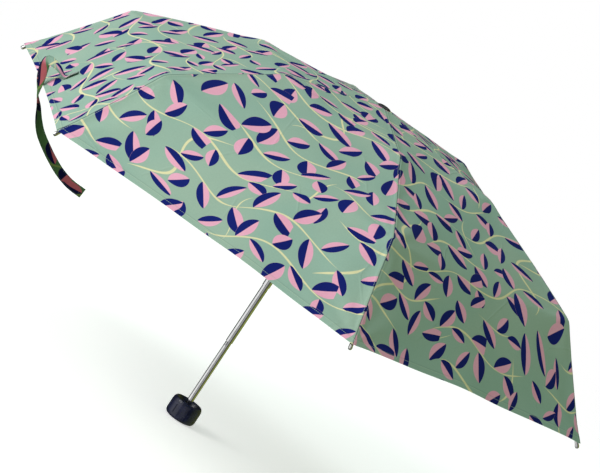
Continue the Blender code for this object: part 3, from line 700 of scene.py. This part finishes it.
def flat_place(gore, arc, u):
    """Where a point of the gore lies on the printed cloth, flat, in mm."""
    half = 0.5 * np.interp(arc, FINE, RIDGE_FINE[:, 0])
    shift = PRINT_SHIFTS[gore]
    along = arc * (1.0 - HEM_SCALLOP * (1.0 - u * u))
    return np.stack([u * half + shift[0], -along + shift[1]], axis=-1)


def cloth_piece(name, gore, arc, u):
    """One piece of a gore on a grid of (arc, u)."""
    surface = gore_cloth(gore)
    turn = gore_azimuth(gore)
    out = turned_about_shaft(surface(arc, u, OUTER_LIFT), turn)
    under = turned_about_shaft(surface(arc, u, INNER_LIFT), turn)
    normal = turned_about_shaft(normals_of(surface, arc, u), turn)
    points, faces, normals, which = shell(out, under, normal)
    half = 0.5 * np.interp(arc, FINE, RIDGE_FINE[:, 0])
    flat = flat_place(gore, arc, u).reshape(-1, 2)
    seam = np.stack([(1.0 - np.abs(u)) * half, HEM - arc], axis=-1).reshape(-1, 2)
    uvs = (("print", np.tile(flat, (2, 1))), ("seam", np.tile(seam, (2, 1))))
    piece = new_piece(name, points, faces, (OUTSIDE, INSIDE), uvs, normals, which=which)
    cells = flat.reshape(*arc.shape, 2)
    p, q = cells[1:, 1:] - cells[:-1, :-1], cells[1:, :-1] - cells[:-1, 1:]
    area = 0.5 * np.abs(p[..., 0] * q[..., 1] - p[..., 1] * q[..., 0]).sum()
    size = np.ptp(flat, axis=0)
    return piece, out, size * MM, area * MM * MM


FOLDS = (                        # name, arcs, slope, body, folded share, lean when folded
    ("top", (SKIRT, BENDS[0]), TOP_ANGLE, "top_rib_{}", 0.05, 0.04),
    ("mid", BENDS, MID_ANGLE, "mid_rib_{}", 0.03, 0.05),
    ("outer", (BENDS[1], HEM), OUTER_ANGLE, "outer_rib_{}", 0.045, -0.04),
)
FOLDED_GAP = 2.6                 # from the rib to the folded cloth


def make_canopy():
    """Each gore as six pieces, three on either rib, that meet as one sheet when open."""
    for gore in range(RIBS):
        for side in (-1.0, 1.0):
            rib = gore if side < 0.0 else (gore + 1) % RIBS
            for stem, (start, end), angle, body, keep, lean in FOLDS:
                rows = row_arcs(start, end, stem == "outer")
                halves = 0.5 * np.interp(rows, FINE, RIDGE_FINE[:, 0])
                shares = np.array([lateral_shares(half) for half in halves])
                arc = skewed(rows[:, None], shares)
                u = side * (1.0 - shares)
                name = f"canopy_{stem}_{gore + 1}_{'left' if side < 0.0 else 'right'}"
                piece, grid, size, area = cloth_piece(name, gore, arc, u)
                along = rib_direction(rib, angle)
                anchor = grid[len(rows) // 2, 0]
                away = grid[:, -1].mean(axis=0) - anchor
                away -= along * (away @ along)
                away /= np.linalg.norm(away)
                upward = np.cross(along, away)
                upward *= math.copysign(lean, lean * upward[2])
                anchor = anchor + away * FOLDED_GAP / (1.0 - keep)
                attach(piece, body.format(rib + 1))
                tuple(away + upward)
                tuple(anchor * MM)
                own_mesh(piece)
                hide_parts(f"canopy_panel_{gore + 1}")


def make_crown_cloth():
    """The ring of cloth under the cap, where the six gores meet."""
    arcs = np.linspace(0.0, SKIRT, 6)
    u = np.linspace(-1.0, 1.0, 9)[:-1]
    out, under, flat, seam = [], [], [], []
    for gore in range(RIBS):
        surface = gore_cloth(gore)
        arc, across = np.meshgrid(arcs, u, indexing="ij")
        turn = gore_azimuth(gore)
        out.append(turned_about_shaft(surface(arc, across, OUTER_LIFT), turn))
        under.append(turned_about_shaft(surface(arc, across, INNER_LIFT), turn))
        flat.append(flat_place(gore, arc, across))
        half = 0.5 * np.interp(arc, FINE, RIDGE_FINE[:, 0])
        seam.append(np.stack([(1.0 - np.abs(across)) * half, HEM - arc], axis=-1))
    out, under, flat, seam = (np.concatenate(x, axis=1) for x in (out, under, flat, seam))
    rows, columns = out.shape[:2]
    layer = rows * columns
    number = np.arange(layer).reshape(rows, columns)
    after = np.roll(number, -1, axis=1)
    outer = np.stack([number[:-1], after[:-1], after[1:], number[1:]], axis=-1).reshape(-1, 4)
    points = np.concatenate([out.reshape(-1, 3), under.reshape(-1, 3)])
    first, second, _, last = points[outer].transpose(1, 0, 2)
    facing = np.cross(second - first, last - first)
    if facing[:, 2].sum() < 0.0:
        outer = outer[:, ::-1]
    inner = outer[:, SAME_SPLIT] + layer
    rims = []
    for edge, flip in ((0, True), (rows - 1, False)):
        a, b = number[edge], after[edge]
        rim = np.stack([a, b, b + layer, a + layer], axis=1)
        rims.append(rim if flip else rim[:, ::-1])
    faces = np.concatenate([outer, inner] + rims)
    which = np.concatenate([np.zeros(len(outer)), np.ones(len(inner)), np.zeros(2 * columns)])
    uvs = tuple((layer_name, np.tile(places.reshape(-1, 2), (2, 1)))
                for layer_name, places in (("print", flat), ("seam", seam)))
    piece = new_piece("canopy_crown", points, faces, (OUTSIDE, INSIDE), uvs, which=which)
    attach(piece, "upper_tube")


# ---------------------------------------------------------------- strap
STRAP_WIDTH, STRAP_THICK = 13.4, 0.9
TAB_WIDTH = 22.0                 # where the strap is sewn down
STRAP_SEAT = ((51.0, 12.0), (41.0, 11.0), (33.0, 10.0))    # back from the hem, aside
STRAP_SWAY = math.radians(14.1)
STRAP_STAND_OFF = 4.0
STRAP_LINE = (                   # from the last sewn point: along the sway, and up
    (-13.0, 4.5), (-22.5, 6.3), (-29.5, 5.6), (-30.0, 0.0), (-28.0, -9.0),
    (-23.5, -22.3), (-17.0, -37.7), (-7.5, -51.3), (0.6, -63.7), (11.3, -76.0),
    (26.2, -87.0), (41.4, -96.3), (58.2, -104.5), (76.9, -110.0), (97.4, -111.5),
)
STRAP_SHARES = (0.0, 0.08, 0.14, 0.20, 0.26, 0.33, 0.41, 0.50, 0.60, 1.0)
STRAP_TURNS = (90.0, 90.0, 72.0, 32.0, 8.0, 34.0, 90.0, 118.0, 132.0, 150.0)
TAB_LENGTH = 19.0
STRAP_PRINT = (402.0, 977.0)     # where the strap was cut from the cloth
STRAP_PAINTED_SHADE, STRAP_LEAF_PAINTED_SHADE = (0.16, 0.25, 0.10), (0.40, 0.20, 0.17)     # painted shade tints for where it hangs, ground and leaves


def smooth_path(points, count):
    """(evenly spaced points on a smooth curve through the given ones, its length)."""
    points = np.asarray(points, float)
    knots = np.concatenate([[0.0], np.cumsum(np.linalg.norm(np.diff(points, axis=0), axis=1))])
    slopes = np.gradient(points, knots, axis=0)
    fine = np.linspace(0.0, knots[-1], 1200)
    i = np.clip(np.searchsorted(knots, fine, side="right") - 1, 0, len(knots) - 2)
    span = (knots[i + 1] - knots[i])[:, None]
    t = (fine - knots[i])[:, None] / span
    curve = (
        (2 * t**3 - 3 * t**2 + 1) * points[i] + (t**3 - 2 * t**2 + t) * span * slopes[i]
        + (3 * t**2 - 2 * t**3) * points[i + 1] + (t**3 - t**2) * span * slopes[i + 1]
    )
    run = np.concatenate([[0.0], np.cumsum(np.linalg.norm(np.diff(curve, axis=0), axis=1))])
    even = np.linspace(0.0, run[-1], count)
    return np.column_stack([np.interp(even, run, curve[:, k]) for k in range(3)]), run[-1]


def unit(vectors):
    return vectors / np.linalg.norm(vectors, axis=-1, keepdims=True)


def strap_route():
    """Points down the strap: sewn on the first gore, folded over its hem and hanging."""
    turn, surface = gore_azimuth(0), gore_cloth(0)
    back, aside = np.array(STRAP_SEAT).T
    arcs = HEM - back
    across = aside / (0.5 * np.interp(arcs, FINE, RIDGE_FINE[:, 0]))
    seat = turned_about_shaft(surface(arcs, across, OUTER_LIFT + 0.6), turn)
    sway = np.array((math.cos(STRAP_SWAY), math.sin(STRAP_SWAY), 0.0))
    forward = np.array((math.sin(STRAP_SWAY), -math.cos(STRAP_SWAY), 0.0))
    up = np.array((0.0, 0.0, 1.0))
    start = seat[-1] + forward * STRAP_STAND_OFF
    free = [start + sway * x + up * z for x, z in STRAP_LINE]
    return np.array(list(seat) + free), forward


def strap_material(name, length, back):
    """The canopy's cloth folded to a tape, with painted shade where it hangs, darker still on
    its back face, and painted shade along its folded edges.
    """
    made, g, shader = new_material(
        name, Roughness=0.7, Specular_IOR_Level=0.06, Sheen_Weight=0.0, Sheen_Roughness=0.45
    )
    _, colour, leaf, weave = printed_cloth(g)
    edge, run, _ = g.parts(g.uv("seam"))
    # painted shade: the hanging part is tinted darker, leaves apart from the ground, and darker
    # still on the back face
    painted_shade_share = g.step(run, 0.18 * length, 0.24 * length)
    shaded = g.mix(leaf, g.tint(colour, STRAP_PAINTED_SHADE), g.tint(colour, STRAP_LEAF_PAINTED_SHADE))
    colour = g.mix(painted_shade_share, colour, g.shade(shaded, 0.85 if back else 1.0))
    ends = g.least(g.abs(run - 1.6), g.abs(run - TAB_LENGTH))
    ends = g.least(ends, g.abs(run - (length - 5.0)))
    stitch = stitches(g, g.abs(edge - STRAP_STITCH), run, 0.45)
    stitch = g.most(stitch, stitches(g, ends, edge, 0.45))
    # painted shade along the strap's folded edges
    edge_shade = g.step(edge, 0.9, 0.0)
    colour = g.mix(stitch * 0.45, colour, STRAP_THREAD)
    colour = g.shade(colour, 1.0 - edge_shade * 0.3)
    g.put(shader.inputs["Base Color"], colour)
    g.put(shader.inputs["Roughness"], 0.68 + weave * 0.04)
    wrinkle = g.noise(g.vector(edge * 0.6, run), 1.0 / 7.0, detail=2.0)
    g.put(shader.inputs["Normal"], g.bump(weave * 0.06 + wrinkle * 0.7 - stitch * 0.3, 0.5, MM))
    return made


def make_strap():
    route, forward = strap_route()
    count = 110
    path, length = smooth_path(route, count)
    share = np.linspace(0.0, 1.0, count)
    along = unit(np.gradient(path, axis=0))
    flat_side = unit(np.cross(forward, along))
    turn = np.radians(np.interp(share, STRAP_SHARES, STRAP_TURNS))
    turn = np.convolve(np.pad(turn, 5, mode="edge"), np.ones(11) / 11.0, mode="valid")
    side = flat_side * np.cos(turn)[:, None] + forward * np.sin(turn)[:, None]
    side = unit(side - along * (side * along).sum(axis=1, keepdims=True))
    face = np.cross(along, side)
    columns = np.linspace(-1.0, 1.0, 9)
    half = 0.5 * (TAB_WIDTH + (STRAP_WIDTH - TAB_WIDTH) * ease(0.05, 0.17, share))
    free = ease(0.1, 0.3, share)
    out, under, normal, flat = [], [], [], []
    for x in columns:
        cup = (0.9 * (1.0 - x * x) + 0.3 * np.sin(19.0 * share + 2.0 * x)) * free
        rim = 0.5 * STRAP_THICK * (1.0 - 0.45 * abs(x) ** 6)
        middle = path + side * (half * x)[:, None] + face * cup[:, None]
        out.append(middle + face * rim)
        under.append(middle - face * rim)
        normal.append(unit(face + side * (0.2 * x * free)[:, None]))
        flat.append(np.column_stack([half * x, share * length]) + STRAP_PRINT)
    out, under, normal = (np.stack(x, axis=1) for x in (out, under, normal))
    points, faces, normals, which = shell(out, under, normal)
    flat = np.stack(flat, axis=1).reshape(-1, 2)
    rim = np.stack([
        half[:, None] * (1.0 - np.abs(columns)),
        np.tile((length * share)[:, None], (1, len(columns))),
    ], axis=-1).reshape(-1, 2)
    uvs = (("print", np.tile(flat, (2, 1))), ("seam", np.tile(rim, (2, 1))))
    looks = (strap_material("strap_face", length, back=False),
             strap_material("strap_back", length, back=True))
    strap = new_piece("tie_strap_cloth", points, faces, looks, uvs, normals, which=which)
    radius, height = moved(OUTER_POINT, OUTER_ANGLE, 0.5 * OUTER_LENGTH, KNUCKLE)
    anchor = radius * rib_direction(0, 0.0) + np.array((0.0, 0.0, height))
    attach(strap, "outer_rib_1")
    tuple(anchor * MM)
    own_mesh(strap)
    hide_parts("tie_strap")
    area = 2.0 * half.mean() * length * MM * MM


# ---------------------------------------------------------------- metal and plastic
def metal(name, colour, roughness, grain, stretch=(1.0, 1.0, 0.04), dirt=0.06):
    """Plated metal with drawn grain, smudges and tiny pits. stretch draws the grain out."""
    made, g, shader = new_material(name, Metallic=1.0)
    place = g.place()
    x, y, z = g.parts(place)
    drawn_place = g.vector(x * stretch[0], y * stretch[1], z * stretch[2])
    drawn = g.noise(drawn_place, 1.1, detail=3.0, roughness=0.6)
    smudge = g.noise(place, 0.045, detail=3.0, roughness=0.6)
    pits = g.step(g.noise(place, 0.9, detail=1.0), 0.68, 0.76)
    shine = g.mix(g.step(smudge, 0.3, 0.75), colour, tuple(0.82 * c for c in colour))
    g.put(shader.inputs["Base Color"], g.shade(shine, 1.0 - pits * dirt))
    least_rough = roughness - 0.06 - 0.5 * grain
    g.put(shader.inputs["Roughness"], smudge * 0.12 + drawn * grain + pits * 0.15 + least_rough)
    g.put(shader.inputs["Normal"], g.bump(drawn * 0.4 - pits * 0.3, 0.25, 0.05 * MM))
    return made


def plastic(name, colour, roughness, coat, grain, scale):
    """Moulded plastic with a faint texture, a cloudy tone and scattered handling marks."""
    made, g, shader = new_material(
        name, Specular_IOR_Level=0.5, Coat_Weight=coat, Coat_Roughness=0.12
    )
    place = g.place()
    cloud = g.noise(place, 0.09, detail=3.0)
    texture = g.noise(place, scale, detail=2.0)
    marks = g.step(g.noise(place, 0.35, detail=4.0, roughness=0.7), 0.6, 0.72)
    lighter = tuple(min(1.0, 1.5 * c + 0.002) for c in colour)
    tone = g.mix(g.step(cloud, 0.35, 0.7), colour, lighter)
    g.put(shader.inputs["Base Color"], g.mix(marks * 0.12, tone, (0.16, 0.17, 0.2)))
    g.put(shader.inputs["Roughness"], cloud * 0.14 + marks * 0.12 + (roughness - 0.07))
    g.put(shader.inputs["Normal"], g.bump(texture * grain - marks * 0.1, 0.3, 0.1 * MM))
    return made


CHROME = metal("chrome_tube", (0.86, 0.865, 0.87), 0.15, 0.05)
STEEL = metal("rib_steel", (0.6, 0.61, 0.62), 0.3, 0.12, stretch=(0.3, 0.3, 0.3))
WIRE = metal("drawn_wire", (0.68, 0.68, 0.69), 0.24, 0.08, stretch=(0.4, 0.4, 0.4))
BRIGHT = metal("bright_tip", (0.78, 0.78, 0.77), 0.16, 0.05, stretch=(0.5, 0.5, 0.5))
BLACK = plastic("black_plastic", (0.013, 0.014, 0.016), 0.38, 0.0, 0.8, 1.6)
NAVY_PLASTIC = plastic("navy_plastic", (0.004, 0.006, 0.026), 0.26, 0.12, 0.25, 0.8)
LOOKS = {
    "tube": CHROME, "rib": STEEL, "wire": WIRE, "tip": BRIGHT, "black": BLACK,
    "handle": NAVY_PLASTIC,
}


def dress_frame():
    """Each CAD node that stays in view gets the detailed material of its slot."""
    for row in frame["record"]["subparts"]:
        look = LOOKS.get(row["material_slot"])
        if look is None:
            continue
        mesh = frame["nodes"][row["node"]].data
        mesh.materials.clear()
        mesh.materials.append(look)


# ---------------------------------------------------------------- stage, light, camera
# Lengths in this section are in metres.
AIM = Vector((0.0, 0.0, 0.3228))
VIEW_AZIMUTH, VIEW_ELEVATION = math.radians(-75.9), math.radians(8.76)
VIEW_DISTANCE, VIEW_RIGHT, VIEW_UP = 5.546, 0.0012, -0.0378
VIEW_ROLL = 0.5854
VIEW_LENS, SENSOR = 261.1, 36.0
KEY_TOWARDS, KEY_DISTANCE, KEY_SIZE, KEY_POWER = (-0.61, -0.70, 0.42), 3.2, 1.9, 70.0
TOP_TOWARDS, TOP_DISTANCE, TOP_SIZE, TOP_POWER = (0.1, 0.35, 1.0), 3.0, 2.4, 13.0
WARM, COOL = (1.0, 0.995, 0.975), (0.90, 0.98, 1.0)
ROOM_LOW, ROOM_HIGH, ROOM_RIGHT = (0.29, 0.31, 0.25), (0.41, 0.47, 0.48), (0.25, 0.31, 0.12)
FLOOR_RADIUS, FLOOR_DROP, FLOOR_GLOW = 2.6, 0.0006, 0.5


def camera_axes():
    ce, se = math.cos(VIEW_ELEVATION), math.sin(VIEW_ELEVATION)
    back = Vector((ce * math.cos(VIEW_AZIMUTH), ce * math.sin(VIEW_AZIMUTH), se))
    right = Vector((0.0, 0.0, 1.0)).cross(back).normalized()
    return right, back.cross(right).normalized(), back


def make_camera():
    right, up, back = camera_axes()
    c, s = math.cos(VIEW_ROLL), math.sin(VIEW_ROLL)
    x_axis, y_axis = right * c + up * s, up * c - right * s
    turn = Matrix((x_axis, y_axis, back)).transposed().to_4x4()
    place = AIM + back * VIEW_DISTANCE + right * VIEW_RIGHT + up * VIEW_UP
    data = bpy.data.cameras.new("view")
    data.lens, data.sensor_width, data.sensor_fit = VIEW_LENS, SENSOR, "HORIZONTAL"
    data.clip_start, data.clip_end = 0.1, 50.0
    camera = bpy.data.objects.new("view", data)
    camera.matrix_world = Matrix.Translation(place) @ turn
    bpy.context.scene.collection.objects.link(camera)
    bpy.context.scene.camera = camera


def area_light(name, towards, distance, size, power, colour):
    data = bpy.data.lights.new(name, "AREA")
    data.shape, data.size, data.energy, data.color = "DISK", size, power, colour
    lamp = bpy.data.objects.new(name, data)
    towards = Vector(towards).normalized()
    lamp.location = AIM + towards * distance
    lamp.rotation_mode = "QUATERNION"
    lamp.rotation_quaternion = towards.to_track_quat("Z", "Y")
    bpy.context.scene.collection.objects.link(lamp)


GREY = (1.0, 1.0, 1.0)
OLIVE = (1.25, 1.4, 0.35)
STUDIO_STRIPES = (               # turn from the lens towards the right, brightness, tint
    (-180.0, 0.04, GREY), (-110.0, 0.05, GREY), (-97.0, 0.50, GREY), (-88.0, 0.95, GREY),
    (-36.0, 0.95, GREY), (-26.0, 0.20, GREY), (-13.0, 0.20, GREY), (-5.0, 0.52, GREY),
    (22.0, 0.46, GREY), (33.0, 0.04, GREY), (60.0, 0.04, GREY), (74.0, 0.20, OLIVE),
    (125.0, 0.20, OLIVE), (180.0, 0.04, GREY),
)


def make_light():
    """A large key from the left, a weak one above, and a striped studio for the chrome."""
    area_light("key", KEY_TOWARDS, KEY_DISTANCE, KEY_SIZE, KEY_POWER, WARM)
    area_light("top", TOP_TOWARDS, TOP_DISTANCE, TOP_SIZE, TOP_POWER, COOL)
    world = bpy.data.worlds.new("studio")
    world.use_nodes = True
    bpy.context.scene.world = world
    g = Graph(world.node_tree)
    shade = world.node_tree.nodes["Background"]
    direction = Term(g, g.node("TexCoord").outputs["Generated"])
    _, _, height = g.parts(direction)
    right, _, back = camera_axes()
    sideways, towards = g.dot(direction, right), g.dot(direction, back)
    room = g.mix(g.step(height, -0.5, 0.8), ROOM_LOW, ROOM_HIGH)
    room = g.mix(g.step(sideways, -0.2, 0.9), room, ROOM_RIGHT)
    turn = g.math("ARCTAN2", sideways, towards) / (2.0 * math.pi) + 0.5
    stripes = g.node("ValToRGB")
    ramp = stripes.color_ramp
    ramp.interpolation = "EASE"
    for angle, _, _ in STUDIO_STRIPES[1:-1]:
        ramp.elements.new(angle / 360.0 + 0.5)
    for stop, (_, value, tint) in zip(ramp.elements, STUDIO_STRIPES):
        stop.color = (*(value * share for share in tint), 1.0)
    g.put(stripes.inputs["Fac"], turn)
    rays = g.node("LightPath")
    glossy = Term(g, rays.outputs["Is Glossy Ray"])
    seen = Term(g, rays.outputs["Is Camera Ray"])
    lit = g.mix(glossy, room, Term(g, stripes.outputs["Color"]))
    g.put(shade.inputs["Color"], g.mix(seen, lit, (1.0, 1.0, 1.0)))


def make_floor():
    """A pale round floor that fades out before its edge."""
    rings, sides = 24, 72
    points = [(0.0, 0.0, 0.0)]
    for ring in range(1, rings + 1):
        for i in range(sides):
            a = 2.0 * math.pi * i / sides
            r = FLOOR_RADIUS * ring / rings
            points.append((r * math.cos(a), r * math.sin(a), 0.0))
    faces = [(0, 1 + i, 1 + (i + 1) % sides) for i in range(sides)]
    for ring in range(rings - 1):
        low, high = 1 + ring * sides, 1 + (ring + 1) * sides
        for i in range(sides):
            j = (i + 1) % sides
            faces.append((low + i, high + i, high + j, low + j))
    made, g, shader = new_material("pale_floor", Roughness=0.85, Specular_IOR_Level=0.1)
    place = Term(g, g.node("TexCoord").outputs["Object"])
    x, y, _ = g.parts(place)
    far = g.sqrt(x * x + y * y)
    cloud = g.noise(place, 3.0, detail=2.0)
    g.put(shader.inputs["Base Color"], g.mix(cloud, (0.9, 0.9, 0.9), (0.94, 0.94, 0.935)))
    shader.inputs["Emission Color"].default_value = (1.0, 1.0, 1.0, 1.0)
    shader.inputs["Emission Strength"].default_value = FLOOR_GLOW
    g.put(shader.inputs["Alpha"], g.step(far, 0.96 * FLOOR_RADIUS, 0.3 * FLOOR_RADIUS))
    mesh = bpy.data.meshes.new("floor")
    mesh.from_pydata(points, [], faces)
    mesh.materials.append(made)
    mesh.shade_smooth()
    floor = bpy.data.objects.new("floor", mesh)
    floor.location.z = -FLOOR_DROP
    floor.visible_glossy = False     # the chrome mirrors the studio instead
    bpy.context.scene.collection.objects.link(floor)


make_camera()
make_light()
make_floor()
make_canopy()
make_crown_cloth()
make_strap()
dress_frame()
bpy.context.scene.view_settings.view_transform = "Standard"
